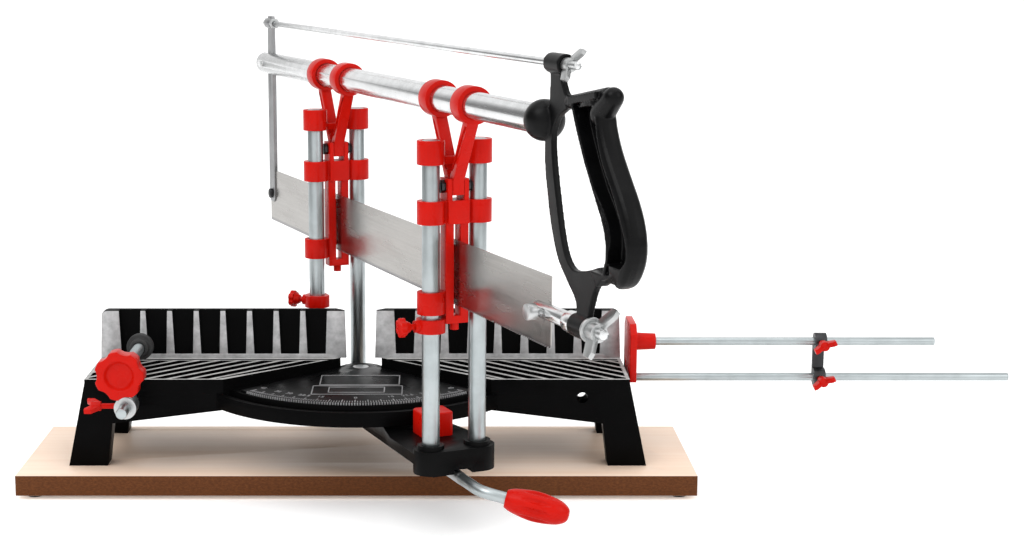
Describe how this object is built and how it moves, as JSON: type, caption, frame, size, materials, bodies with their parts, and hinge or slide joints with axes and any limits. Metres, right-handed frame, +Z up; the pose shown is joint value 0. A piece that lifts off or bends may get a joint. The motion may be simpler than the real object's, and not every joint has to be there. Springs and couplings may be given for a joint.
{
  "type": "manual mitre saw",
  "caption": "Hand mitre saw on a wooden board: ribbed base with fences, swinging arm with guide posts, tension-framed blade saw, work clamp and length stop.",
  "frame": {"origin": "on the surface that the rubber feet stand on, under the axis of the swing pivot; the fence faces lie in the plane Y = 0", "axes": "+X to the right along the fences, -Y towards the user, +Z up"},
  "size_m": [0.737, 0.6186, 0.3388],
  "materials": {
    "board_wood": "satin varnish",
    "foot_rubber": "matt",
    "zinc_steel": "bright zinc",
    "casting_black": "satin black paint, machined bright on the table's ribs",
    "fence_alloy": "milled",
    "scale_black": "black print with pale marks",
    "post_chrome": "bright plated",
    "guide_red": "glossy red",
    "knob_red": "glossy red",
    "handle_black": "satin black",
    "dark_steel": "blackened",
    "blade_steel": "ground, lengthways",
    "bracket_steel": "bright zinc"
  },
  "bodies": {
    "base": {"base_board": "board_wood", "rubber_feet": "foot_rubber", "board_screws": "zinc_steel", "base_casting": "casting_black", "fence_left": "fence_alloy", "fence_right": "fence_alloy", "fence_screws": "zinc_steel", "scale_plate": "scale_black", "pivot_bolt": "zinc_steel"},
    "arm": {"swing_arm": "casting_black", "front_left_post": "post_chrome", "front_right_post": "post_chrome", "rear_left_post": "post_chrome", "rear_right_post": "post_chrome"},
    "top_guides": {"front_top_guide": "guide_red", "rear_top_guide": "guide_red"},
    "front_stop": {"front_depth_stop": "guide_red"},
    "rear_stop": {"rear_depth_stop": "guide_red"},
    "front_stop_knob": {"front_stop_screw": "knob_red"},
    "rear_stop_knob": {"rear_stop_screw": "knob_red"},
    "carriages": {"front_carriage": "guide_red", "rear_carriage": "guide_red", "front_hanger": "guide_red", "rear_hanger": "guide_red", "hanger_bolts": "zinc_steel"},
    "saw": {"saw_tube": "post_chrome", "handle": "handle_black", "far_arm": "dark_steel", "far_arm_pin": "zinc_steel", "tension_rod": "post_chrome", "tension_nuts": "zinc_steel", "blade": "blade_steel", "blade_far_pin": "dark_steel", "blade_holder": "post_chrome", "blade_near_pin": "post_chrome", "blade_washer": "post_chrome"},
    "tension_nut": {"tension_wing_nut": "post_chrome"},
    "blade_nut": {"blade_wing_nut": "post_chrome"},
    "lever": {"clamp_lever": "post_chrome", "lever_grip": "knob_red"},
    "pawl": {"index_pawl": "guide_red"},
    "clamp_bar": {"clamp_rod": "post_chrome"},
    "clamp_bracket": {"clamp_arm": "bracket_steel"},
    "clamp_foot": {"clamp_pad": "foot_rubber"},
    "clamp_spindle": {"clamp_screw": "post_chrome", "clamp_knob": "knob_red"},
    "clamp_lock": {"clamp_wing_screw": "knob_red"},
    "stop_bar": {"stop_lower_rod": "post_chrome"},
    "stop_bracket": {"stop_link": "dark_steel"},
    "stop_head": {"stop_upper_rod": "post_chrome", "stop_plate": "guide_red"},
    "lower_lock": {"link_lower_screw": "knob_red"},
    "upper_lock": {"link_upper_screw": "knob_red"}
  },
  "joints": [
    {"name": "swing", "type": "hinge", "parent": "base", "child": "arm", "pos_m": [0, 0, 0.058], "axis": [0, 0, 1], "range_deg": [-67.5, 22.5]},
    {"name": "depth_setting", "type": "slide", "parent": "arm", "child": "front_stop", "axis": [0, 0, 1], "range_m": [-0.0735, 0]},
    {"name": "rear_depth_setting", "type": "slide", "parent": "arm", "child": "rear_stop", "axis": [0, 0, 1], "range_m": [-0.0486, 0]},
    {"name": "top_guide_slide", "type": "slide", "parent": "arm", "child": "top_guides", "axis": [0, 0, 1], "range_m": [-0.0736, 0]},
    {"name": "plunge", "type": "slide", "parent": "front_stop", "child": "carriages", "axis": [0, 0, 1], "range_m": [-0.003, 0.005]},
    {"name": "saw_stroke", "type": "slide", "parent": "carriages", "child": "saw", "axis": [0.3827, -0.9239, 0], "range_m": [-0.07, 0.118]},
    {"name": "front_stop_turn", "type": "hinge", "parent": "front_stop", "child": "front_stop_knob", "pos_m": [0.05394, -0.17465, 0.1465], "axis": [-0.9239, -0.3827, 0], "range_deg": [0, 360]},
    {"name": "rear_stop_turn", "type": "hinge", "parent": "rear_stop", "child": "rear_stop_knob", "pos_m": [-0.0356, 0.04154, 0.1199], "axis": [-0.9239, 0.3827, 0], "range_deg": [0, 360]},
    {"name": "tension_turn", "type": "hinge", "parent": "saw", "child": "tension_nut", "pos_m": [0.1347, -0.32521, 0.3295], "axis": [0.3827, -0.9239, 0], "range_deg": [-180, 720]},
    {"name": "blade_nut_turn", "type": "hinge", "parent": "saw", "child": "blade_nut", "pos_m": [0.14465, -0.34923, 0.1815], "axis": [0.3827, -0.9239, 0], "range_deg": [-180, 720]},
    {"name": "clamp_lever_turn", "type": "hinge", "parent": "arm", "child": "lever", "pos_m": [0.06123, -0.14782, 0.042], "axis": [0.3827, -0.9239, 0], "range_deg": [0, 50]},
    {"name": "pawl_pull", "type": "slide", "parent": "arm", "child": "pawl", "axis": [0.3827, -0.9239, 0], "range_m": [0, 0.005], "stiffness_N_per_m": 400, "springref_m": -0.004},
    {"name": "clamp_reach", "type": "slide", "parent": "base", "child": "clamp_bar", "axis": [0, -1, 0], "range_m": [-0.007, 0.02]},
    {"name": "clamp_bracket_slide", "type": "slide", "parent": "clamp_bar", "child": "clamp_bracket", "axis": [0, -1, 0], "range_m": [-0.007, 0.012]},
    {"name": "clamp_lock_turn", "type": "hinge", "parent": "clamp_bracket", "child": "clamp_lock", "pos_m": [-0.165, -0.093, 0.0695], "axis": [-1, 0, 0], "range_deg": [0, 360]},
    {"name": "pad_retreat", "type": "slide", "parent": "clamp_bracket", "child": "clamp_foot", "axis": [0, -1, 0], "range_m": [-0.0046, 0.0161]},
    {"name": "clamp_screw_turn", "type": "hinge", "parent": "clamp_foot", "child": "clamp_spindle", "pos_m": [-0.165, -0.093, 0.098], "axis": [0, -1, 0], "range_deg": [-1080, 3840]},
    {"name": "length_bar_slide", "type": "slide", "parent": "base", "child": "stop_bar", "axis": [1, 0, 0], "range_m": [0, 0.03]},
    {"name": "length_link_turn", "type": "hinge", "parent": "stop_bar", "child": "stop_bracket", "pos_m": [0.347, -0.025, 0.0745], "axis": [1, 0, 0], "range_deg": [-30, 30]},
    {"name": "length_stop_slide", "type": "slide", "parent": "stop_bracket", "child": "stop_head", "axis": [1, 0, 0], "range_m": [0, 0.115]},
    {"name": "lower_lock_turn", "type": "hinge", "parent": "stop_bracket", "child": "lower_lock", "pos_m": [0.347, -0.025, 0.0745], "axis": [0, -1, 0], "range_deg": [0, 360]},
    {"name": "upper_lock_turn", "type": "hinge", "parent": "stop_bracket", "child": "upper_lock", "pos_m": [0.347, -0.025, 0.102], "axis": [0, -1, 0], "range_deg": [0, 360]}
  ],
  "couplings": [
    {"joint": "rear_depth_setting", "follows": "depth_setting", "ratio": 0.66},
    {"joint": "top_guide_slide", "follows": "depth_setting", "ratio": 1},
    {"joint": "pad_retreat", "follows": "clamp_screw_turn", "m_per_rad": 0.00023873}
  ]
}
